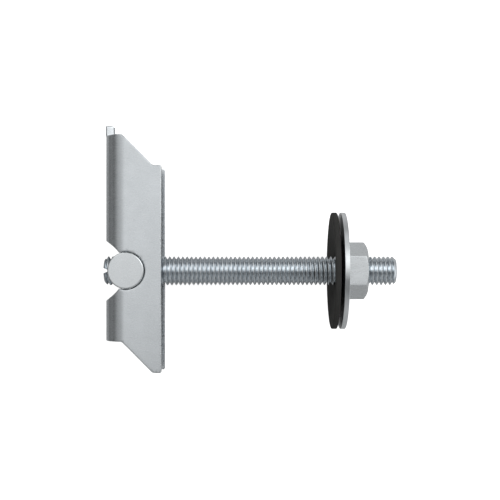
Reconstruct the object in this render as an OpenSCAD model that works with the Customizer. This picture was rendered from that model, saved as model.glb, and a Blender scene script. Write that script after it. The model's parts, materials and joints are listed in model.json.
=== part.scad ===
// Toggle bolt with one folded bar
//
// A bar folded from sheet steel swings on a cross pin, and the pin is screwed
// onto the tail of a threaded rod. A nut on the rod's other end holds a steel
// washer and a seal washer, which close on the board from the open side.
//
// Every piece is drawn with the pin's axis at the origin, the rod along X,
// the pin along Z and the bar's long arm towards +Y. The loose bolt then lies
// down as it rests on a table: on the pin's lower edge and the washers' rims.

/* [Threaded rod] */
// Length of the rod
rod_len = 100; // [85:1:180]
// Diameter over the crests of the thread
rod_d = 9.85; // [7.85:0.05:11.85]
// Distance from one turn of the thread to the next
thread_pitch = 1.5; // [1:0.25:1.75]
// Length of the tail behind the pin's axis
tail_len = 8; // [7.4:0.1:10]
// Width of the groove struck across the tail's end
stake_w = 1.8; // [1:0.1:2.4]
// Depth of that groove
stake_depth = 2.2; // [1:0.1:3]

/* [Cross pin] */
// Metal left on each side of the rod's hole
pin_wall = 1.25; // [0.8:0.05:2]
// How far each end stands proud of the bar's wall
pin_proud = 0.1; // [0:0.05:0.5]
// Chamfer round each end
pin_edge = 0.3; // [0.1:0.05:0.6]
// Play all round the pin in the bar's holes
pin_play = 0.3; // [0.1:0.05:0.6]

/* [Folded bar] */
// Thickness of the sheet
sheet_t = 2; // [1.5:0.1:2.5]
// Gap between the rod and each wall
rod_gap = 0.575; // [0.4:0.025:1.2]
// Depth from the round back to the bearing edges
bar_depth = 19.5; // [18:0.5:26]
// Length of the back on the long arm's side of the pin
long_arm = 46.1; // [36:0.1:56]
// Length of the back on the short arm's side
short_arm = 24; // [20:0.5:32]
// How far the bearing edges are shifted towards the short arm
end_shift = 10.5; // [6:0.5:10.5]
// Start of the slanted ends, in front of the pin's axis when positive
slant_start = -1.4; // [-2:0.1:0]
// Room round the rod's tail in the hole through the back
tail_room = 2.15; // [2:0.05:3]
// Width of the tab on the long arm's end
tab_w = 5; // [3:0.5:8]
// Length of the tab
tab_len = 3.5; // [1:0.5:5]

/* [Washers] */
// Diameter of both washers
washer_d = 40; // [32:1:50]
// Thickness of the steel washer
steel_t = 1.5; // [1:0.1:3]
// Radius rolled onto the steel washer's punched edge
rolled_edge = 0.3; // [0.1:0.05:0.6]
// Play round the rod in both washers
washer_play = 0.45; // [0.2:0.05:1]
// Thickness of the seal washer at its rim
seal_rim_t = 1.8; // [1.2:0.05:2.5]
// Thickness of the seal washer at its hole
seal_hub_t = 1.6; // [0.5:0.05:2.5]
// Gap that the seal washer's dish leaves between its rim and the steel
seal_lift = 1.3; // [0:0.1:2]
// Width of the flat lip on the seal washer's rim
seal_lip = 2.2; // [1:0.1:4]
// Bevel on the seal washer's rim
seal_bevel = 0.35; // [0.1:0.05:0.5]

/* [Nut] */
// Width across the flats
nut_flats = 17; // [16:0.5:19]
// Height of the nut
nut_h = 7.6; // [5:0.1:10]
// Distance from the pin's axis to the nut's inner face
nut_place = 74.4; // [58:0.5:76]
// Share of the width across flats that the chamfer leaves on the outer face
nut_crown = 0.955; // [0.9:0.005:0.98]

/* [Hidden] */
$fn = 96;

// Plain bores stand for the threads in the pin and the nut, this much clear of the crests
thread_play = 0.05;
// Height of a 60 degree thread's flanks, and the chamfers that run down past them
thread_h = 0.6134 * thread_pitch;
tip_chamfer = thread_h + 0.3;
tail_chamfer = thread_h;
// Cutters run this far past what they cut
past = 1;

rod_r = rod_d / 2;
rod_tip = rod_len - tail_len;
thread_bore_r = rod_r + thread_play;

// Half width of the bar inside, outside and at the middle of the sheet
bar_in = rod_r + rod_gap;
bar_out = bar_in + sheet_t;
bar_mid = bar_in + sheet_t / 2;
bearing_x = bar_depth - bar_out;
slant_end = slant_start + end_shift;
// Length of sheet, at its middle, from the back's centre line to a wall
quarter_arc = bar_mid * PI / 2;
back_hole_r = tail_len + tail_room;
// Corner radii where the slanted ends start and stop
bend_round = 1;
nose_round = 1.5;

pin_r = rod_r + pin_wall;
pin_half = bar_out + pin_proud;

washer_r = washer_d / 2;
washer_bore_r = rod_r + washer_play;
steel_x = nut_place - steel_t;
seal_back = steel_x - seal_lift;
seal_front = seal_back - seal_rim_t;
// Small rounding on the steel washer's other edge
steel_ease = 0.25;
// Flat ring of the seal washer that lies on the steel
seal_seat_r = washer_bore_r + 3;

crown_r = nut_flats * nut_crown / 2;
nut_corner_r = nut_flats / 2 / cos(30);
// Flat cone at the mouth of a nut's thread
mouth_r = rod_r + 0.5;
mouth_depth = (mouth_r - rod_r + thread_h) / tan(60);

// The bolt rests on the edge of the pin's lower end and on the seal washer's rim
pin_foot = [pin_r - pin_edge, pin_half];
rim_foot = [seal_front + seal_bevel, washer_r];
rest_tilt = atan((rim_foot.y - pin_foot.y) / (rim_foot.x + pin_foot.x));
foot_drop = pin_foot.x * sin(rest_tilt) + pin_foot.y * cos(rest_tilt);
// Furthest points of the tail and of the tip, once the bolt lies down
tail_reach = tail_len * cos(rest_tilt) + (rod_r - tail_chamfer) * sin(rest_tilt);
tip_reach = rod_tip * cos(rest_tilt) + (rod_r - tip_chamfer) * sin(rest_tilt);
middle_x = (tip_reach - tail_reach) / 2;
middle_y = (long_arm + tab_len - short_arm - end_shift) / 2;

// Lays a piece down, with the middle of the bolt's footprint at the origin
module lying() {
    translate([-middle_x, -middle_y, foot_drop])
        rotate([0, -rest_tilt, 0])
            children();
}

// Turns a profile, drawn with its radius along X and its height along Y, about the rod
module turned() {
    rotate([0, 90, 0])
        rotate_extrude()
            children();
}

// Where a point of the flat blank goes when the sheet is folded round the back:
// s runs across the blank from its centre line, y along it, and r is the radius
// in the sheet, from the inner face to the outer
function folded(s, y, r) =
    let (turn = min(abs(s), quarter_arc) / bar_mid * 180 / PI)
    [max(abs(s) - quarter_arc, 0) - r * cos(turn), y, sign(s) * r * sin(turn)];

// Points round one corner of an outline, which is rounded by radius r
function round_corner(before, at, after, r, steps = 6) =
    let (
        u = (before - at) / norm(before - at),
        v = (after - at) / norm(after - at),
        half = acos(u * v) / 2,
        centre = at + (u + v) / norm(u + v) * r / sin(half),
        first = at + u * r / tan(half) - centre,
        last = at + v * r / tan(half) - centre,
        start = atan2(first.y, first.x),
        swing = (atan2(last.y, last.x) - start + 540) % 360 - 180
    )
    [for (i = [0:steps]) centre + r * [cos(start + swing * i / steps), sin(start + swing * i / steps)]];

// The bar seen along the pin, with slanted ends at 45 degrees
function side_outline() =
    let (
        back = -bar_out - past,
        low = -short_arm,
        high = long_arm,
        low_nose = low - end_shift,
        high_nose = high - end_shift
    )
    concat(
        [[back, low]],
        round_corner([back, low], [slant_start, low], [slant_end, low_nose], bend_round),
        round_corner([slant_start, low], [slant_end, low_nose], [bearing_x, low_nose], nose_round),
        [[bearing_x, low_nose], [bearing_x, high_nose]],
        round_corner([bearing_x, high_nose], [slant_end, high_nose], [slant_start, high], nose_round),
        round_corner([slant_end, high_nose], [slant_start, high], [back, high], bend_round),
        [[back, high]]
    );

// The U section, endless along the bar
module channel() {
    span = 2 * (long_arm + short_arm);
    rotate([90, 0, 0])
        linear_extrude(span, center = true)
            difference() {
                union() {
                    circle(bar_out);
                    translate([0, -bar_out])
                        square([bearing_x, 2 * bar_out]);
                }
                circle(bar_in);
                translate([0, -bar_in])
                    square([bearing_x + past, 2 * bar_in]);
            }
}

// What was punched out of the back as a round hole while the sheet was flat:
// slices across the bar, each as long as the hole is at that place on the blank
module back_hole() {
    slices = 30;
    steepest = 87;
    inner = bar_in - past;
    outer = bar_out + past;
    slice = [
        for (i = [0:slices])
            let (
                a = steepest * (2 * i / slices - 1),
                s = back_hole_r * sin(a),
                y = back_hole_r * cos(a)
            )
            each [folded(s, y, inner), folded(s, -y, inner), folded(s, -y, outer), folded(s, y, outer)]
    ];
    sides = [
        for (i = [0:slices - 1], side = [0:3])
            let (
                a = 4 * i + side,
                b = 4 * i + (side + 1) % 4
            )
            each [[a, b, b + 4], [a, b + 4, a + 4]]
    ];
    last = 4 * slices;
    polyhedron(slice, concat(sides, [[3, 2, 1, 0], [last, last + 1, last + 2, last + 3]]));
}

module toggle_bar() {
    color([0.78, 0.8, 0.81])
        lying()
            difference() {
                intersection() {
                    channel();
                    union() {
                        linear_extrude(2 * (bar_out + past), center = true)
                            polygon(side_outline());
                        translate([-bar_out - past, long_arm - past, -tab_w / 2])
                            cube([bar_out, tab_len + past, tab_w]);
                    }
                }
                cylinder(h = 2 * (bar_out + past), r = pin_r + pin_play, center = true);
                back_hole();
            }
}

// The pin, with the rod's hole through it
module cross_pin() {
    color([0.82, 0.84, 0.85])
        lying()
            difference() {
                rotate_extrude()
                    polygon([
                        [0, -pin_half],
                        [pin_r - pin_edge, -pin_half],
                        [pin_r, pin_edge - pin_half],
                        [pin_r, pin_half - pin_edge],
                        [pin_r - pin_edge, pin_half],
                        [0, pin_half]
                    ]);
                rotate([0, 90, 0])
                    cylinder(h = 2 * (pin_r + past), r = thread_bore_r, center = true);
            }
}

// The rod, with a groove struck across its tail so that the pin stays on
module threaded_rod() {
    groove_mouth = stake_w / 2 * (stake_depth + past) / stake_depth;
    color([0.6, 0.64, 0.67])
        lying()
            difference() {
                turned()
                    polygon([
                        [0, -tail_len],
                        [rod_r - tail_chamfer, -tail_len],
                        [rod_r, tail_chamfer - tail_len],
                        [rod_r, rod_tip - tip_chamfer],
                        [rod_r - tip_chamfer, rod_tip],
                        [0, rod_tip]
                    ]);
                linear_extrude(2 * rod_d, center = true)
                    polygon([
                        [stake_depth - tail_len, 0],
                        [-tail_len - past, groove_mouth],
                        [-tail_len - past, -groove_mouth]
                    ]);
            }
}

// A shallow dish whose flat lip faces the board and whose hub lies on the steel washer
module seal_washer() {
    color([0.16, 0.16, 0.16])
        lying()
            turned()
                polygon([
                    [washer_bore_r, steel_x - seal_hub_t],
                    [washer_r - seal_lip, seal_front],
                    [washer_r - seal_bevel, seal_front],
                    [washer_r, seal_front + seal_bevel],
                    [washer_r, seal_back - seal_bevel],
                    [washer_r - seal_bevel, seal_back],
                    [seal_seat_r, steel_x],
                    [washer_bore_r, steel_x]
                ]);
}

// A punched washer: its edge is rolled over on the side that the punch met
module steel_washer() {
    color([0.84, 0.85, 0.86])
        lying()
            turned() {
                translate([washer_bore_r, steel_x])
                    square([washer_r - rolled_edge - washer_bore_r, steel_t]);
                translate([washer_r - rolled_edge, steel_x + rolled_edge])
                    square([rolled_edge, steel_t - rolled_edge - steel_ease]);
                translate([washer_r - rolled_edge, nut_place - steel_ease])
                    square([rolled_edge - steel_ease, steel_ease]);
                intersection() {
                    translate([washer_r - rolled_edge, steel_x + rolled_edge])
                        circle(rolled_edge);
                    translate([washer_r - rolled_edge, steel_x])
                        square(rolled_edge);
                }
                intersection() {
                    translate([washer_r - steel_ease, nut_place - steel_ease])
                        circle(steel_ease);
                    translate([washer_r - steel_ease, nut_place - steel_ease])
                        square(steel_ease);
                }
            }
}

// A hexagon with two corners in the bar's plane, chamfered on its outer face
module hex_nut() {
    outer_face = nut_place + nut_h;
    chamfer_h = (nut_corner_r - crown_r) * tan(30);
    color([0.72, 0.74, 0.74])
        lying()
            difference() {
                intersection() {
                    translate([nut_place, 0, 0])
                        rotate([0, 90, 0])
                            rotate([0, 0, 30])
                                cylinder(h = nut_h, r = nut_corner_r, $fn = 6);
                    turned()
                        polygon([
                            [0, nut_place - past],
                            [nut_corner_r + past, nut_place - past],
                            [nut_corner_r + past, outer_face - chamfer_h - past * tan(30)],
                            [crown_r, outer_face],
                            [0, outer_face]
                        ]);
                }
                turned()
                    polygon([
                        [0, nut_place - past],
                        [mouth_r + past * tan(60), nut_place - past],
                        [mouth_r - mouth_depth * tan(60), nut_place + mouth_depth],
                        [0, nut_place + mouth_depth]
                    ]);
                turned()
                    polygon([
                        [0, outer_face + past],
                        [mouth_r + past * tan(60), outer_face + past],
                        [mouth_r - mouth_depth * tan(60), outer_face - mouth_depth],
                        [0, outer_face - mouth_depth]
                    ]);
                translate([nut_place - past, 0, 0])
                    rotate([0, 90, 0])
                        cylinder(h = nut_h + 2 * past, r = thread_bore_r);
            }
}

toggle_bar();
cross_pin();
threaded_rod();
seal_washer();
steel_washer();
hex_nut();
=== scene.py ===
"""Looks of the tilting toggle bolt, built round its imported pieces.

Every piece is drawn in millimetres in the bolt's own axes, with the cross pin's
centre at the origin, the rod along X, the pin along Z and the bar's long arm
towards +Y. lay_down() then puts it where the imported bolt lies.
"""

import json
import math

import bpy
import numpy as np
from mathutils import Matrix, Vector
from mathutils.geometry import delaunay_2d_cdt


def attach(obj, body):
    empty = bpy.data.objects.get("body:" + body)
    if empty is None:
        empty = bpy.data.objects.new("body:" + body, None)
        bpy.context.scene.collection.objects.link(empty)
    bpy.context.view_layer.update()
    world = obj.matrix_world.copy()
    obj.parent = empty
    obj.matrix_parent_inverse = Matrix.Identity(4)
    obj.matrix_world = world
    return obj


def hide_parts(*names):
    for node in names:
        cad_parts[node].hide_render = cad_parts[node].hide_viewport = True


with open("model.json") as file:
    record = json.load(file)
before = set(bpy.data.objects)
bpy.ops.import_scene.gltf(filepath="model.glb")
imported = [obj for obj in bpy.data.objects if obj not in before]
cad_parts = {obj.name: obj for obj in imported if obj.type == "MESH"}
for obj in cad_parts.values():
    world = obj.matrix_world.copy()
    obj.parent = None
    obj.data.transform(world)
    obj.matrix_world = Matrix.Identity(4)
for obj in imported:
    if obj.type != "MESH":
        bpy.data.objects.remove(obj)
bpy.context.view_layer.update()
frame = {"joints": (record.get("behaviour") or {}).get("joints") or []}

MM = 0.001

# Threaded rod
ROD_R = 4.925
ROD_TIP = 92.0
ROD_TAIL = -8.0
PITCH = 1.5
THREAD_DEPTH = 0.6134 * PITCH
THREAD_START = -11.23
TURN_STEPS = 72
# Half a crest and half a root of the thread: (along from the crest's middle, height above it)
HALF_CREST = [(0.0, 0.0), (0.085, -0.004), (0.14, -0.022), (0.185, -0.068)]
HALF_ROOT = [(0.62, -0.822), (0.67, -0.885), (0.75, -THREAD_DEPTH)]
TIP_CHAMFER = THREAD_DEPTH + 0.3
TAIL_CHAMFER = THREAD_DEPTH
# The rounded tip: (back from the tip, in from the crests)
TIP_DOME = [(1.25, 0.06), (0.38, 0.62), (0.17, 0.92), (0.04, 1.38), (0.0, 1.95)]
# The V struck across the tail, which keeps the rod in the pin
STAKE_DEPTH = 2.2
STAKE_HALF_W = 0.9
# What the tapped holes add to the thread's radius
PIN_TAP_ROOM = 0.03
NUT_TAP_ROOM = 0.04

# Cross pin
PIN_R = 6.175
PIN_HALF = 7.6
PIN_ROUND = 0.45
PIN_HOLE_R = 6.475
# Each pin hole narrows towards the inside of the bar, by this for each mm of sheet
PIN_HOLE_DRAFT = 0.1

# Folded bar: the bend's inner, outer and middle radius, and a quarter turn of its middle
BAR_IN = 5.5
BAR_OUT = 7.5
BAR_MID = 6.5
QUARTER = BAR_MID * math.pi / 2
# How far along the rod the walls reach from the pin, and along the bar its two arms
BEARING_X = 12.0
LONG_ARM = 46.1
SHORT_ARM = -24.0
# Both ends slant by this much along the bar, between these two places along the rod
END_SHIFT = 10.5
SLANT_START = -1.4
SLANT_END = SLANT_START + END_SHIFT
# The round hole punched through the back of the bend, before it is folded
BACK_HOLE_R = 10.15
TAB_HALF_W = 2.5
TAB_END = LONG_ARM + 3.5
# The shear that frees the tab narrows it towards the rod's side, by this for each mm of sheet,
TAB_DRAFT = 0.115
# and swells its outer and inner face, over a short stretch past the arm's end
TAB_SWELL_OUT = 0.2
TAB_SWELL_IN = 0.3
TAB_SWELL_OVER = 0.4
# How far the punched edges are eased on the bend's outer and inner side
OUTER_EASE = 0.32
INNER_EASE = 0.14

# Washers
WASHER_R = 20.0
WASHER_BORE_R = 5.375
SEAL_LIP_FRONT = 69.8
SEAL_LIP_BACK = 71.6
SEAL_EASE = 0.35
STEEL_X = 72.9
STEEL_ROLL = 0.14
STEEL_EASE = 0.12
# The burr on the steel washer's rim, and how far in from the rim its top and its foot lie
BURR = 0.12
BURR_TOP = 0.35
BURR_FOOT = 0.75

# Nut
NUT_X = 74.4
NUT_H = 7.6
NUT_FLATS = 17.0
NUT_CROWN_R = NUT_FLATS * 0.955 / 2
NUT_CORNER_R = 0.1
NUT_EASE = 0.12
# The mouths of its thread: radius at the face, depth, and radius lost for each mm of depth
MOUTH_R = ROD_R + 0.5
MOUTH_DEPTH = 0.82
MOUTH_SLOPE = 1.73

joints = {joint["name"]: joint for joint in frame["joints"]}
PIN_CENTRE = Vector(joints["bar_tilt"]["pos_m"])
PIN_AXIS = Vector(joints["bar_tilt"]["axis"]).normalized()
ROD_AXIS = Vector(joints["nut_travel"]["axis"]).normalized()
BAR_AXIS = PIN_AXIS.cross(ROD_AXIS)
AXES = Matrix((ROD_AXIS, BAR_AXIS, PIN_AXIS)).transposed().to_4x4()
LYING = Matrix.Translation(PIN_CENTRE) @ AXES


# ---------------------------------------------------------------- node trees


class Value:
    """One output in a node tree, so that maths on it reads as maths."""

    def __init__(self, bench, socket):
        self.bench = bench
        self.socket = socket

    def maths(self, operation, *numbers):
        return self.bench.add("ShaderNodeMath", {"operation": operation}, dict(enumerate(numbers)))

    def other(self, name):
        """Another output of the same node."""
        return Value(self.bench, self.socket.node.outputs[name])

    def __add__(self, number):
        return self.maths("ADD", self, number)

    def __sub__(self, number):
        return self.maths("SUBTRACT", self, number)

    def __rsub__(self, number):
        return self.maths("SUBTRACT", number, self)

    def __mul__(self, number):
        return self.maths("MULTIPLY", self, number)

    def __truediv__(self, number):
        return self.maths("DIVIDE", self, number)

    def __mod__(self, number):
        return self.maths("MODULO", self, number)

    def __pow__(self, number):
        return self.maths("POWER", self, number)

    def __gt__(self, number):
        return self.maths("GREATER_THAN", self, number)

    __radd__ = __add__
    __rmul__ = __mul__


class Bench:
    """A node tree, and the one way that nodes are added to it."""

    def __init__(self, tree):
        self.tree = tree

    def add(self, kind, settings=(), sockets=(), out=0):
        """Adds a node, sets its settings first and then its sockets, and gives back one output."""
        node = self.tree.nodes.new(kind)
        for name, setting in dict(settings).items():
            if name == "stops":
                set_stops(node.color_ramp, setting)
            else:
                setattr(node, name, setting)
        for key, value in dict(sockets).items():
            if isinstance(value, Value):
                self.tree.links.new(value.socket, node.inputs[key])
            else:
                node.inputs[key].default_value = value
        return Value(self, node.outputs[out]) if len(node.outputs) else node

    def split(self, vector):
        x = self.add("ShaderNodeSeparateXYZ", (), {0: vector})
        return x, x.other("Y"), x.other("Z")

    def join(self, x, y, z):
        return self.add("ShaderNodeCombineXYZ", (), {0: x, 1: y, 2: z})

    def blend(self, amount, first, second, way="MIX"):
        """A colour between two others, or the two multiplied."""
        settings = {"data_type": "RGBA", "blend_type": way}
        return self.add("ShaderNodeMix", settings, {0: amount, 6: first, 7: second}, 2)

    def tones(self, place, stops):
        """The grey tone at a place from 0 to 1, between stops of (place, tone)."""
        greys = [(at, (tone, tone, tone, 1)) for at, tone in stops]
        return self.add("ShaderNodeValToRGB", {"stops": greys}, {0: place})

    def noise(self, place, scale, detail, roughness):
        """A cloudy pattern round 0.5, finer where the scale is larger."""
        sockets = {"Vector": place, "Scale": scale, "Detail": detail, "Roughness": roughness}
        return self.add("ShaderNodeTexNoise", (), sockets)

    def bump(self, height, strength, depth):
        """A bumpy surface, its depth in millimetres."""
        sockets = {"Strength": strength, "Distance": depth * MM, "Height": height}
        return self.add("ShaderNodeBump", (), sockets)

    def own_place(self):
        """The place on the bolt, in millimetres in its own axes."""
        place = self.add("ShaderNodeTexCoord", out="Object")
        sockets = {0: place, 1: PIN_CENTRE, 2: LYING.to_euler(), 3: (MM, MM, MM)}
        return self.add("ShaderNodeMapping", {"vector_type": "TEXTURE"}, sockets)

    def coat(self, sockets):
        """Ends a material with one coat, from the values of its sockets."""
        surface = self.add("ShaderNodeBsdfPrincipled", (), sockets)
        self.add("ShaderNodeOutputMaterial", (), {0: surface})


def set_stops(ramp, stops):
    """Gives a ramp its stops, each a place and a colour."""
    while len(ramp.elements) < len(stops):
        ramp.elements.new(1.0)
    for element, (place, colour) in zip(ramp.elements, stops):
        element.position = place
        element.color = colour


def shape_tree(name, inputs):
    """A Geometry Nodes tree with named inputs, and the values that they give."""
    tree = bpy.data.node_groups.new(name, "GeometryNodeTree")
    tree.interface.new_socket("Geometry", in_out="INPUT", socket_type="NodeSocketGeometry")
    for label, kind in inputs.items():
        tree.interface.new_socket(label, in_out="INPUT", socket_type="NodeSocket" + kind)
    tree.interface.new_socket("Geometry", in_out="OUTPUT", socket_type="NodeSocketGeometry")
    bench = Bench(tree)
    given = bench.add("NodeGroupInput")
    return bench, [given.other(label) for label in ["Geometry", *inputs]]


def end_tree(bench, geometry, material):
    """Ends a tree: instances made real, material set, result out."""
    real = bench.add("GeometryNodeRealizeInstances", (), {0: geometry})
    coated = bench.add("GeometryNodeSetMaterial", (), {"Geometry": real, "Material": material})
    bench.add("NodeGroupOutput", (), {0: coated})


# -------------------------------------------------------------------- meshes


def new_object(name, points, faces, edges=()):
    """A new piece from its points and its faces, or loose edges."""
    mesh = bpy.data.meshes.new(name)
    mesh.from_pydata([tuple(p) for p in points], list(edges), faces)
    mesh.validate()
    mesh.update()
    piece = bpy.data.objects.new(name, mesh)
    bpy.context.scene.collection.objects.link(piece)
    return piece


def made_plain(piece):
    """Replaces a piece's mesh by what its modifiers make of it, and removes them."""
    graph = bpy.context.evaluated_depsgraph_get()
    mesh = bpy.data.meshes.new_from_object(piece.evaluated_get(graph))
    mesh.name = piece.name
    piece.modifiers.clear()
    piece.data = mesh
    return piece


def with_tree(piece, bench, values):
    """Runs a Geometry Nodes tree on a piece, with its inputs set by their identifiers."""
    modifier = piece.modifiers.new("Shape", "NODES")
    modifier.node_group = bench.tree
    for item in bench.tree.interface.items_tree:
        if item.in_out == "INPUT" and item.name in values:
            modifier[item.identifier] = values[item.name]
    return made_plain(piece)


def cut(piece, tool, operation="DIFFERENCE"):
    """Cuts a piece with a tool and throws the tool away."""
    modifier = piece.modifiers.new("Cut", "BOOLEAN")
    modifier.operation = operation
    modifier.solver = "MANIFOLD"
    modifier.object = tool
    made_plain(piece)
    bpy.data.objects.remove(tool)
    return piece


def ring_solid(name, rings, closed=False):
    """A solid from rings of points, its two ends joined to each other or closed flat."""
    count = len(rings[0])
    points = [point for ring in rings for point in ring]
    faces = []
    for a in range(len(rings) if closed else len(rings) - 1):
        b = (a + 1) % len(rings)
        for i in range(count):
            j = (i + 1) % count
            faces.append((a * count + i, a * count + j, b * count + j, b * count + i))
    if not closed:
        for ring, flipped in ((0, True), (len(rings) - 1, False)):
            middle = len(points)
            points.append(np.mean(rings[ring], axis=0))
            for i in range(count):
                j = (i + 1) % count
                corner = (ring * count + i, ring * count + j)
                faces.append((*(reversed(corner) if flipped else corner), middle))
    return new_object(name, points, faces)


def turned(name, profile, steps=192, closed=True, axis="x"):
    """Turns a profile of (place along the axis, radius) about the rod or the pin."""
    angles = np.linspace(0, 2 * math.pi, steps, endpoint=False)
    rings = []
    for along, radius in profile:
        c, s = radius * np.cos(angles), radius * np.sin(angles)
        flat = np.full(steps, along)
        rings.append(np.column_stack((flat, c, s) if axis == "x" else (c, s, flat)))
    return ring_solid(name, rings, closed)


def arc(centre, radius, start, end, steps=5):
    """Points on an arc, in degrees, both ends among them."""
    angles = np.radians(np.linspace(start, end, steps + 1))
    return [(centre[0] + radius * math.cos(a), centre[1] + radius * math.sin(a)) for a in angles]


def facing_out(piece):
    """Turns every face outwards if the closed mesh is inside out."""
    mesh = piece.data
    mesh.calc_loop_triangles()
    co = np.array([v.co for v in mesh.vertices])
    tri = np.array([t.vertices for t in mesh.loop_triangles])
    volume = np.einsum("ij,ij->i", co[tri[:, 0]], np.cross(co[tri[:, 1]], co[tri[:, 2]])).sum()
    if volume < 0:
        mesh.flip_normals()
    return piece


def lay_down(piece, finish, crease=32, weighted=True):
    """Puts a finished piece where the bolt lies, in metres, smooth between its sharp edges."""
    mesh = piece.data
    mesh.transform(LYING @ Matrix.Scale(MM, 4))
    mesh.shade_smooth()
    mesh.set_sharp_from_angle(angle=math.radians(crease))
    mesh.materials.clear()
    mesh.materials.append(finish)
    mesh.update()
    if weighted:
        modifier = piece.modifiers.new("Even shading", "WEIGHTED_NORMAL")
        modifier.mode = "FACE_AREA"
        modifier.weight = 100
        modifier.keep_sharp = True
        made_plain(piece)
    return piece


# ----------------------------------------------------------------- materials


def bare_material(name):
    """A new material with no nodes yet, and the bench to add them on."""
    material = bpy.data.materials.new(name)
    material.use_nodes = True
    material.node_tree.nodes.clear()
    return material, Bench(material.node_tree)


def plated(name, colour, dark, roughness, grain, grain_depth, mottle):
    """Zinc plated steel, satin: a cloudy tone, and a fine grain drawn out along one way.

    The clouds' size, mottle, is in millimetres. Along an axis where grain is larger the
    grain is finer.
    """
    material, bench = bare_material(name)
    own = bench.own_place()
    drawn = bench.add("ShaderNodeVectorMath", {"operation": "MULTIPLY"}, {0: own, 1: grain})
    clouds = bench.noise(own, 1 / mottle, 4.0, 0.6)
    lines = bench.noise(drawn, 1.0, 3.0, 0.55)
    grit = bench.noise(own, 7.0, 3.0, 0.65)
    tone = clouds * 0.6 + lines * 0.3 + grit * 0.1
    spread = bench.tones(tone, [(0.36, 0), (0.64, 1)])
    height = lines * 0.7 + grit * 0.5
    bench.coat(
        {
            "Base Color": bench.blend(spread, (*dark, 1), (*colour, 1)),
            "Metallic": 1.0,
            "Roughness": roughness + (grit - 0.5) * 0.12 + (lines - 0.5) * 0.16,
            "Normal": bench.bump(height, grain_depth, 0.02),
        }
    )
    return material


def moulded(name):
    """Black moulded washer: matt, with a fine even grain and a little dust."""
    material, bench = bare_material(name)
    own = bench.own_place()
    grain = bench.noise(own, 3.0, 4.0, 0.6)
    dust = bench.noise(own, 0.35, 2.0, 0.5)
    bench.coat(
        {
            "Base Color": bench.blend(dust, (0.034, 0.034, 0.033, 1), (0.050, 0.050, 0.048, 1)),
            "Roughness": 0.8 + (grain - 0.5) * 0.2,
            "Specular IOR Level": 0.12,
            "Normal": bench.bump(grain, 0.5, 0.03),
        }
    )
    return material


SHEET = plated(
    "Plated sheet",
    colour=(0.664, 0.698, 0.722),
    dark=(0.611, 0.643, 0.665),
    roughness=0.27,
    grain=(0.3, 0.8, 0.5),
    grain_depth=0.12,
    mottle=7.0,
)
PIN = plated(
    "Plated pin",
    colour=(0.712, 0.743, 0.761),
    dark=(0.667, 0.697, 0.714),
    roughness=0.28,
    grain=(0.5, 0.5, 0.5),
    grain_depth=0.25,
    mottle=4.0,
)
THREAD = plated(
    "Plated thread",
    colour=(0.682, 0.722, 0.753),
    dark=(0.574, 0.614, 0.645),
    roughness=0.22,
    grain=(2.4, 0.15, 0.15),
    grain_depth=0.45,
    mottle=3.0,
)
WASHER = plated(
    "Plated washer",
    colour=(0.740, 0.768, 0.785),
    dark=(0.690, 0.716, 0.732),
    roughness=0.32,
    grain=(0.5, 0.5, 0.5),
    grain_depth=0.2,
    mottle=5.0,
)
NUT = plated(
    "Plated nut",
    colour=(0.720, 0.752, 0.770),
    dark=(0.653, 0.682, 0.699),
    roughness=0.28,
    grain=(0.3, 1.0, 1.0),
    grain_depth=0.3,
    mottle=3.0,
)
SEAL = moulded("Black seal")


# -------------------------------------------------------------- threaded rod


def thread_tree():
    """Sweeps the section of one turn along a helix.

    The section's points hold the place along the rod and the radius.
    """
    inputs = {
        "Start": "Float",
        "Turns": "Int",
        "Steps in a Turn": "Int",
        "Pitch": "Float",
        "Material": "Material",
    }
    bench, given = shape_tree("Rolled thread", inputs)
    section, start, turns, steps, pitch, material = given
    count = bench.add("GeometryNodeAttributeDomainSize", (), {0: section})
    size = {0: 1.0, 1: 1.0, "Vertices X": turns * steps + 1, "Vertices Y": count}
    ribbon = bench.add("GeometryNodeMeshGrid", (), size)
    index = bench.add("GeometryNodeInputIndex")
    row = index.maths("FLOOR", (index + 0.5) / count)
    column = index - row * count
    place = bench.add("GeometryNodeInputPosition")
    point = bench.add(
        "GeometryNodeSampleIndex",
        {"data_type": "FLOAT_VECTOR"},
        {0: section, "Value": place, "Index": column},
    )
    along, radius, _ = bench.split(point)
    turn = row / steps
    # Counted afresh in each turn, so that a point and its neighbour a turn later meet exactly
    angle = (row % steps) / steps * (2 * math.pi)
    wound = bench.join(
        start + pitch * turn + along,
        radius * angle.maths("COSINE", angle),
        radius * angle.maths("SINE", angle),
    )
    helix = bench.add("GeometryNodeSetPosition", (), {"Geometry": ribbon, "Position": wound})
    weld = 1e-3
    welded = bench.add("GeometryNodeMergeByDistance", (), {"Geometry": helix, "Distance": weld})
    # The two open ends are drawn to a point on the axis, well outside what is kept
    touching = bench.add("GeometryNodeInputMeshEdgeNeighbors")
    rim = touching.maths("COMPARE", touching, 1.0, 0.1)
    drawn = bench.add(
        "GeometryNodeExtrudeMesh",
        {"mode": "EDGES"},
        {"Mesh": welded, "Selection": rim, "Offset Scale": 0.0},
    )
    here, _, _ = bench.split(place)
    middle = start + pitch * (turns + 1.0) * 0.5
    reach = start - pitch + (here > middle) * pitch * (turns + 3.0)
    end = bench.join(reach, 0.0, 0.0)
    pointed = bench.add(
        "GeometryNodeSetPosition",
        (),
        {"Geometry": drawn, "Selection": drawn.other("Top"), "Position": end},
    )
    closed = bench.add("GeometryNodeMergeByDistance", (), {"Geometry": pointed, "Distance": weld})
    end_tree(bench, closed, material)
    return bench


THREAD_TREE = thread_tree()


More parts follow.
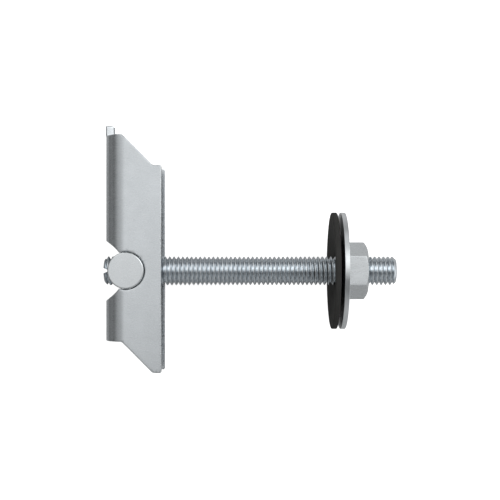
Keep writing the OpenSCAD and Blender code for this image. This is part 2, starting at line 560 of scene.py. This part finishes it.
def thread_section(name, swell=0.0):
    """The section of one turn, from one crest's middle to the next, 60 degrees between flanks."""
    half = HALF_CREST + HALF_ROOT
    whole = half + [(PITCH - x, y) for x, y in reversed(half[:-1])]
    points = [(x, ROD_R + swell + y, 0) for x, y in whole]
    return new_object(name, points, [], [(i, i + 1) for i in range(len(points) - 1)])


def thread_blank(name, low, high, swell=0.0):
    """A length of thread that runs past both ends, in step with every other length of it."""
    skipped = math.floor((low - THREAD_START) / PITCH) - 2
    turns = math.ceil((high - low) / PITCH) + 4
    values = {
        "Start": THREAD_START + skipped * PITCH,
        "Turns": turns,
        "Steps in a Turn": TURN_STEPS,
        "Pitch": PITCH,
        "Material": THREAD,
    }
    return facing_out(with_tree(thread_section(name, swell), THREAD_TREE, values))


def threaded_rod():
    """The rod, chamfered at its tail, rounded at its tip, with a V struck across its tail."""
    rod = thread_blank("threaded_rod_thread", ROD_TAIL, ROD_TIP)
    core, past, corner = 0.6, 0.3, 0.12
    profile = [
        (ROD_TAIL, core),
        (ROD_TAIL, ROD_R - TAIL_CHAMFER - 0.15),
        (ROD_TAIL + corner, ROD_R - TAIL_CHAMFER),
        (ROD_TAIL + TAIL_CHAMFER + past, ROD_R + past),
        (ROD_TIP - TIP_CHAMFER - past, ROD_R + past),
        *((ROD_TIP - back, ROD_R - inward) for back, inward in TIP_DOME),
        (ROD_TIP, core),
    ]
    ends = turned("ends", profile, steps=144, closed=False)
    cut(rod, facing_out(ends), "INTERSECT")
    # The wedge that strikes the V starts well behind the tail and is wider than the rod
    behind, wide = 3.0, 9.0
    mouth = STAKE_HALF_W * (STAKE_DEPTH + behind) / STAKE_DEPTH
    groove = [
        (ROD_TAIL + STAKE_DEPTH, 0.0),
        (ROD_TAIL - behind, mouth),
        (ROD_TAIL - behind, -mouth),
    ]
    sides = [np.array([(x, y, z) for x, y in groove]) for z in (-wide, wide)]
    cut(rod, facing_out(ring_solid("wedge", sides)))
    return lay_down(rod, THREAD, crease=35, weighted=False)


# ----------------------------------------------------------------- cross pin


def cross_pin():
    """The round pin, tapped across for the rod."""
    inner = PIN_R - PIN_ROUND
    flat = PIN_HALF - PIN_ROUND
    profile = arc((-flat, inner), PIN_ROUND, 180, 90, 6) + arc((flat, inner), PIN_ROUND, 90, 0, 6)
    pin = facing_out(turned("cross_pin_turned", profile, closed=False, axis="z"))
    cut(pin, thread_blank("tap", -PIN_R, PIN_R, PIN_TAP_ROOM))
    return lay_down(pin, PIN)


# ---------------------------------------------------------------- folded bar


def on_blank(x, r):
    """How far from the blank's centre line a point lies that ends at x along the rod.

    In the bend it also depends on the radius r at which the point lies.
    """
    return QUARTER + x if x >= 0 else BAR_MID * math.acos(-x / r)


def rounded(corners, steps=6):
    """Rounds the corners of a path, each given as (x, y, radius, parts to the next corner)."""
    path = []
    for i, (x, y, radius, _) in enumerate(corners):
        at = np.array((x, y))
        points = [at]
        if radius and 0 < i < len(corners) - 1:
            before = np.array(corners[i - 1][:2]) - at
            after = np.array(corners[i + 1][:2]) - at
            u, v = before / np.linalg.norm(before), after / np.linalg.norm(after)
            half = math.acos(np.dot(u, v)) / 2
            centre = at + (u + v) / np.linalg.norm(u + v) * radius / math.sin(half)
            first = at + u * radius / math.tan(half) - centre
            last = at + v * radius / math.tan(half) - centre
            start = math.atan2(first[1], first[0])
            swing = (math.atan2(last[1], last[0]) - start + 3 * math.pi) % (2 * math.pi) - math.pi
            angles = [start + swing * k / steps for k in range(steps + 1)]
            points = [centre + radius * np.array((math.cos(a), math.sin(a))) for a in angles]
        if path:
            parts = corners[i - 1][3]
            gap = points[0] - path[-1]
            path += [path[-1] + gap * k / parts for k in range(1, parts)]
        path += points
    return path


def outer_edge(r):
    """The blank's outline at radius r in the bend, the material on its left."""
    tab = BAR_MID * math.asin((TAB_HALF_W - TAB_DRAFT * (BAR_OUT - r)) / r)
    start = on_blank(SLANT_START, r)
    end = QUARTER + SLANT_END
    front = QUARTER + BEARING_X
    right = rounded(
        [
            (0, TAB_END, 0, 8),
            (tab, TAB_END, 0.5, 6),
            (tab, LONG_ARM, 0.25, 22),
            (start, LONG_ARM, 1.0, 14),
            (end, LONG_ARM - END_SHIFT, 1.5, 3),
            (front, LONG_ARM - END_SHIFT, 0.5, 60),
            (front, SHORT_ARM - END_SHIFT, 0.5, 3),
            (end, SHORT_ARM - END_SHIFT, 1.5, 14),
            (start, SHORT_ARM, 1.0, 28),
            (0, SHORT_ARM, 0, 1),
        ]
    )
    left = [np.array((-s, y)) for s, y in reversed(right[1:-1])]
    return (right + left)[::-1]


def hole_edge(r):
    """The back's round hole run into both pin holes, at radius r in the bend.

    The material is on its left.
    """
    pin_hole_r = PIN_HOLE_R - PIN_HOLE_DRAFT * (BAR_OUT - r)

    def off_pin_hole(a):
        """Above zero where the back's hole, at this angle round it, lies outside the pin hole."""
        s, y = BACK_HOLE_R * math.sin(a), BACK_HOLE_R * math.cos(a)
        return (r * math.cos(s / BAR_MID)) ** 2 + y * y - pin_hole_r**2

    # The two holes meet between these angles, and halving finds where
    low, high = math.radians(36), math.radians(69)
    for _ in range(50):
        mid = (low + high) / 2
        low, high = (mid, high) if off_pin_hole(mid) > 0 else (low, mid)
    back = [
        BACK_HOLE_R * np.array((math.sin(a), math.cos(a))) for a in np.linspace(0, low, 22)
    ]
    cusp_x = -r * math.cos(back[-1][0] / BAR_MID)
    cusp = math.atan2(back[-1][1], cusp_x)
    pin = [
        np.array((on_blank(pin_hole_r * math.cos(a), r), pin_hole_r * math.sin(a)))
        for a in np.linspace(cusp, 0, 36)[1:]
    ]
    quarter = back + pin
    right = quarter + [np.array((s, -y)) for s, y in reversed(quarter[:-1])]
    return right + [np.array((-s, y)) for s, y in reversed(right[1:-1])]


def inset(path, distance):
    """Moves a closed path to its left by a distance, mitred at its corners."""
    p = np.array(path)
    ahead = np.roll(p, -1, axis=0) - p
    ahead /= np.linalg.norm(ahead, axis=1)[:, None]
    left = np.column_stack((-ahead[:, 1], ahead[:, 0]))
    both = left + np.roll(left, 1, axis=0)
    return p + distance * 2 * both / np.einsum("ij,ij->i", both, both)[:, None]


def inside(points, path):
    """Which points lie inside a closed path."""
    a, b = path, np.roll(path, -1, axis=0)
    x, y = points[:, 0][:, None], points[:, 1][:, None]
    crosses = (a[:, 1] > y) != (b[:, 1] > y)
    with np.errstate(divide="ignore", invalid="ignore"):
        at = a[:, 0] + (y - a[:, 1]) * (b[:, 0] - a[:, 0]) / (b[:, 1] - a[:, 1])
    return (crosses & (x < at)).sum(axis=1) % 2 == 1


def sheet_face(outline, hole):
    """Triangles between the outline and the hole, in columns of points so that the fold is round.

    The columns stand closer in the bend, and their points keep clear of both edges.
    """
    bend_columns, bend_step = 30, 0.8
    flat_columns, flat_step = 8, 1.6
    clear = 0.22
    bend = np.arange(-bend_columns, bend_columns + 1) * QUARTER / bend_columns
    flat = QUARTER + np.arange(1, flat_columns) * BEARING_X / flat_columns
    columns = [(s, bend_step) for s in bend] + [(s, flat_step) for s in (*flat, *-flat)]
    inner = []
    for s, step in columns:
        ys = np.arange(SHORT_ARM - END_SHIFT, TAB_END, step)
        inner += [(s, y) for y in ys]
    inner = np.array(inner)
    inner = inner[inside(inner, outline) & ~inside(inner, hole)]
    edge = np.vstack((outline, hole))
    near = np.array([np.min(np.hypot(*(edge - p).T)) for p in inner])
    inner = inner[near > clear]
    points = np.vstack((outline, hole, inner))
    n, m = len(outline), len(hole)
    edges = [(i, (i + 1) % n) for i in range(n)] + [(n + i, n + (i + 1) % m) for i in range(m)]
    found = delaunay_2d_cdt([Vector(p) for p in points], edges, [], 0, 1e-7)
    made, faces, source = np.array([tuple(v) for v in found[0]]), found[2], found[3]
    centres = np.array([made[list(f)].mean(axis=0) for f in faces])
    kept = inside(centres, outline) & ~inside(centres, hole)
    # Back to the numbers of the points that went in
    number = [min(ids) for ids in source]
    return points, [tuple(number[i] for i in f) for f, keep in zip(faces, kept) if keep]


def bar_blank():
    """The punched sheet before it is folded.

    Its edges are rolled over on the outer side and nearly sharp on the inner side.
    """
    quarter_turn = np.radians(np.linspace(0, 90, 5))
    levels = [
        (BAR_OUT - OUTER_EASE * (1 - math.cos(a)), OUTER_EASE * (1 - math.sin(a)))
        for a in quarter_turn
    ]
    levels += [
        (BAR_IN + INNER_EASE * (1 - math.cos(a)), INNER_EASE * (1 - math.sin(a)))
        for a in reversed(quarter_turn[::2])
    ]
    points, faces = [], []
    rims = []
    for edge in (outer_edge, hole_edge):
        rings = [inset(edge(r), d) for r, d in levels]
        count = len(rings[0])
        first = len(points)
        for (r, _), ring in zip(levels, rings):
            points += [(s, y, r - BAR_MID) for s, y in ring]
        for a in range(len(levels) - 1):
            for i in range(count):
                j = (i + 1) % count
                top, low = first + a * count, first + (a + 1) * count
                faces.append((top + j, top + i, low + i, low + j))
        rims.append((first, first + (len(levels) - 1) * count, count, rings[0], rings[-1]))
    # Each face of the sheet is filled in between the outline's last ring and the hole's
    (outer_top, outer_low, n, outline, outline_low), (hole_top, hole_low, m, hole, low_hole) = rims
    for depth, turned_over, a, b, path, inner_path in (
        (BAR_OUT, False, outer_top, hole_top, outline, hole),
        (BAR_IN, True, outer_low, hole_low, outline_low, low_hole),
    ):
        flat, triangles = sheet_face(path, inner_path)
        first = len(points)
        points += [(s, y, depth - BAR_MID) for s, y in flat[n + m :]]
        number = [*range(a, a + n), *range(b, b + m), *range(first, first + len(flat) - n - m)]
        for triangle in triangles:
            face = [number[i] for i in triangle]
            faces.append(face[::-1] if turned_over else face)
    swollen = []
    for s, y, depth in points:
        share = min(1.0, max(0.0, (y - LONG_ARM) / TAB_SWELL_OVER))
        swell = TAB_SWELL_OUT if depth > 0 else TAB_SWELL_IN
        swollen.append((s, y, depth * (1 + share * swell / (BAR_OUT - BAR_MID))))
    return new_object("toggle_bar_folded", swollen, faces)


def fold_tree():
    """Folds a flat blank round the rod: the middle of the sheet keeps its length."""
    bench, given = shape_tree("Fold", {"Bend Radius": "Float", "Material": "Material"})
    blank, radius, material = given
    across, along, depth = bench.split(bench.add("GeometryNodeInputPosition"))
    quarter = radius * (math.pi / 2)
    far = across.maths("ABSOLUTE", across)
    bent = across.maths("MINIMUM", far, quarter)
    wall = far - bent
    angle = bent / radius
    out = radius + depth
    side = across.maths("SIGN", across)
    folded = bench.join(
        wall - out * angle.maths("COSINE", angle),
        along,
        side * out * angle.maths("SINE", angle),
    )
    shaped = bench.add("GeometryNodeSetPosition", (), {"Geometry": blank, "Position": folded})
    end_tree(bench, shaped, material)
    return bench


def toggle_bar():
    """The bar, punched flat and folded into a U."""
    bar = with_tree(bar_blank(), fold_tree(), {"Bend Radius": BAR_MID, "Material": SHEET})
    return lay_down(facing_out(bar), SHEET, crease=40)


# ------------------------------------------------------------------- washers


def seal_washer():
    """A shallow dish: flat lip towards the board, hub on the steel washer."""
    front, back, ease = SEAL_LIP_FRONT, SEAL_LIP_BACK, SEAL_EASE
    profile = (
        [(STEEL_X, WASHER_BORE_R + 0.12), (STEEL_X - 0.12, WASHER_BORE_R)]
        + [(STEEL_X - 1.48, WASHER_BORE_R), (STEEL_X - 1.6, WASHER_BORE_R + 0.12)]
        + [(STEEL_X - 1.74, WASHER_BORE_R + 1.2)]
        + [(front + 0.06, WASHER_R - 2.6), (front, WASHER_R - 2.1)]
        + arc((front + ease, WASHER_R - ease), ease, 180, 90, 5)
        + arc((back - ease, WASHER_R - ease), ease, 90, 0, 5)
        + [(STEEL_X - 0.04, WASHER_BORE_R + 3.4), (STEEL_X, WASHER_BORE_R + 2.9)]
    )
    return lay_down(facing_out(turned("seal_washer_moulded", profile)), SEAL, crease=50)


def steel_washer():
    """A punched washer with eased edges and a small burr round its rim, towards the seal."""
    roll, ease = STEEL_ROLL, STEEL_EASE
    profile = (
        [(STEEL_X, WASHER_BORE_R + 0.3), (STEEL_X + 0.08, WASHER_BORE_R + 0.1)]
        + [(STEEL_X + 0.3, WASHER_BORE_R)]
        + [(NUT_X - 0.08, WASHER_BORE_R), (NUT_X, WASHER_BORE_R + 0.08)]
        + arc((NUT_X - ease, WASHER_R - ease), ease, 0, 90, 4)
        + arc((STEEL_X - BURR + roll, WASHER_R - roll), roll, 90, 180, 8)
        + [(STEEL_X - BURR, WASHER_R - BURR_TOP), (STEEL_X, WASHER_R - BURR_FOOT)]
    )
    return lay_down(facing_out(turned("steel_washer_punched", profile)), WASHER, crease=50)


# ----------------------------------------------------------------------- nut


def hex_nut():
    """A pressed hexagon nut, chamfered on its outer face and tapped in step with the rod."""
    angles = np.linspace(0, 2 * math.pi, 240, endpoint=False)
    half_side = math.pi / 6
    slope = math.tan(half_side)
    flat = NUT_FLATS / 2
    corner = flat / math.cos(half_side)
    # Turn from the nearest corner. One corner lies along the bar, where the angle is 0
    off = np.abs((angles + half_side) % (2 * half_side) - half_side)
    hexagon = flat / np.cos(half_side - off)
    # Each corner is rounded about a point a little inside it, up to where the flats touch
    centre = corner - NUT_CORNER_R / math.cos(half_side)
    with np.errstate(invalid="ignore"):
        soft = centre * np.cos(off) + np.sqrt(NUT_CORNER_R**2 - (centre * np.sin(off)) ** 2)
    touch = math.atan2(NUT_CORNER_R / 2, centre + NUT_CORNER_R * math.cos(half_side))
    wall = np.where(off < touch, soft, hexagon)
    outer = NUT_X + NUT_H
    # How far the chamfer has come down where it meets the wall
    below = (wall - NUT_CROWN_R) * slope

    def ring(along, radius):
        """A ring of points at these places along the rod and distances from it."""
        along = np.broadcast_to(along, angles.shape)
        radius = np.broadcast_to(radius, angles.shape)
        return np.column_stack((along, radius * np.cos(angles), radius * np.sin(angles)))

    ease = NUT_EASE
    core = 3.0
    rings = [
        # The bearing face and its eased edge
        ring(NUT_X, core),
        ring(NUT_X, wall - ease),
        ring(NUT_X + ease * 0.3, wall - ease * 0.3),
        ring(NUT_X + ease, wall),
        # The chamfer, with small steps that ease both its edges, and the crown
        ring(outer - np.maximum(below, 0) - 0.16, wall),
        ring(outer - np.maximum(below, 0) - 0.06, wall - 0.03),
        ring(outer - np.maximum(below - 0.09 * slope, 0) - 0.005, wall - 0.09),
        ring(outer - 0.06, NUT_CROWN_R + 0.06),
        ring(outer, NUT_CROWN_R - 0.12),
        ring(outer, core),
    ]
    nut = facing_out(ring_solid("hex_nut_tapped", rings))
    # Both mouths are cut by one waisted tool that starts and ends outside the nut
    axle, past = 0.5, 1.0
    wide, narrow = MOUTH_R + past * MOUTH_SLOPE, MOUTH_R - MOUTH_DEPTH * MOUTH_SLOPE
    tool = [
        (NUT_X - past, axle),
        (NUT_X - past, wide),
        (NUT_X + MOUTH_DEPTH, narrow),
        (outer - MOUTH_DEPTH, narrow),
        (outer + past, wide),
        (outer + past, axle),
    ]
    cut(nut, facing_out(turned("mouths", tool, steps=144, closed=False)))
    cut(nut, thread_blank("tap", NUT_X, outer, NUT_TAP_ROOM))
    return lay_down(nut, NUT, crease=30)


# ----------------------------------------------------------- pieces to bodies

for make, body, node, slot in (
    (threaded_rod, "rod_unit", "threaded_rod", "plated_thread"),
    (cross_pin, "rod_unit", "cross_pin", "plated_pin"),
    (toggle_bar, "toggle", "toggle_bar", "plated_sheet"),
    (seal_washer, "washers", "seal_washer", "seal"),
    (steel_washer, "washers", "steel_washer", "plated_washer"),
    (hex_nut, "nut", "hex_nut", "plated_nut"),
):
    piece = make()
    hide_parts(node)
    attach(piece, body)


# --------------------------------------------------- floor, light and camera

# The floor's tone is painted light and shade, which the metal mirrors: the product of two rows of
# (mm, tone). The first counts along the rod from the cross pin, keeps the floor bright near the
# bolt and darkens what lies behind it, a painted shade
FLOOR_SHADE_ALONG = [(-100, 0.54), (-44, 0.47), (-28, 0.38), (-24, 0.58), (-21, 0.96), (-18, 1), (100, 1)]
# The second, a painted pool of light, counts across the rod, towards the bar's long arm, and runs
# aslant: each millimetre along the rod counts for this many across it
FLOOR_SLANT = 0.5
FLOOR_LIGHT_POOL_ACROSS = [(-100, 0.52), (8, 0.52), (47, 0.64), (92, 0.76), (125, 0.64), (200, 0.54)]
FLOOR_GLOW = 0.9
FLOOR_HALF_M = 3.0

# The studio's glows, as (degrees off the camera's line, degrees round it from the rod towards the
# bar's long arm, strength, tightness)
GLOWS = [
    (12, 120, 0.44, 20),
    (12, 180, 0.64, 20),
    (25, 40, 0.55, 20),
    (38, 40, 3.39, 20),
    (38, 160, 0.33, 20),
    (52, 120, 2.04, 20),
    (52, 160, 0.29, 20),
    (52, 200, 0.32, 20),
    (52, 240, 0.79, 20),
    (80, 180, 0.12, 20),
    (70, 88, 0.75, 20),
    (95, 0, 1.03, 3),
    (95, 300, 0.69, 3),
]

# The camera's place from the cross pin in the bolt's own axes, its lens and how far it is shifted
EYE = Vector((42.57, -2.15, 329.0))
LENS = 68.8
LENS_SHIFT = (-0.004, 0.054)


def painted_floor_light(bench, place, row):
    """The floor's painted light and shade at a place in millimetres, from one row of (mm, tone)."""
    start, end = row[0][0], row[-1][0]
    stops = [((at - start) / (end - start), tone) for at, tone in row]
    return bench.tones((place - start) / (end - start), stops)


def floor():
    """A pale matt floor with painted light and shade in its tone, lit like a light table where it
    is looked at: shadows stay faint.
    """
    material, bench = bare_material("Pale floor")
    along, across, _ = bench.split(bench.own_place())
    # Painted shade behind the rod, times a painted pool of light across it, both mirrored by the
    # metal
    behind = painted_floor_light(bench, along, FLOOR_SHADE_ALONG)
    aslant = painted_floor_light(bench, along * FLOOR_SLANT + across, FLOOR_LIGHT_POOL_ACROSS)
    seen = bench.add("ShaderNodeLightPath", out="Is Camera Ray")
    bench.coat(
        {
            "Base Color": bench.blend(1.0, behind, aslant, "MULTIPLY"),
            "Roughness": 0.9,
            "Emission Color": (1, 1, 1, 1),
            "Emission Strength": seen * FLOOR_GLOW,
        }
    )
    half = FLOOR_HALF_M
    corners = [(-half, -half, 0), (half, -half, 0), (half, half, 0), (-half, half, 0)]
    ground = new_object("floor", corners, [(0, 1, 2, 3)])
    ground.data.materials.append(material)


def studio():
    """Broad soft glows in a dark surround."""
    world = bpy.data.worlds.new("Studio")
    world.use_nodes = True
    world.node_tree.nodes.clear()
    bench = Bench(world.node_tree)
    towards = bench.add("ShaderNodeTexCoord", out="Generated")
    strength = 0.0
    for off_line, turn, glow, tightness in GLOWS:
        off_line, turn = math.radians(off_line), math.radians(turn)
        side = math.sin(off_line)
        middle = Vector((side * math.cos(turn), side * math.sin(turn), math.cos(off_line)))
        sockets = {0: towards, 1: LYING.to_3x3() @ middle}
        near = bench.add("ShaderNodeVectorMath", {"operation": "DOT_PRODUCT"}, sockets, "Value")
        strength = near.maths("MAXIMUM", near, 0.0) ** tightness * glow + strength
    light = bench.add("ShaderNodeBackground", (), {0: (1, 1, 1, 1), 1: strength})
    bench.add("ShaderNodeOutputWorld", (), {0: light})
    bpy.context.scene.world = world


def camera():
    """A long lens straight down the cross pin's axis."""
    eye = bpy.data.cameras.new("Camera")
    eye.lens = LENS
    eye.sensor_width = 36.0
    eye.shift_x, eye.shift_y = LENS_SHIFT
    eye.clip_start = 0.01
    holder = bpy.data.objects.new("Camera", eye)
    holder.matrix_world = LYING @ Matrix.Translation(EYE * MM)
    bpy.context.scene.collection.objects.link(holder)
    bpy.context.scene.camera = holder


floor()
studio()
camera()
bpy.context.scene.view_settings.view_transform = "Standard"
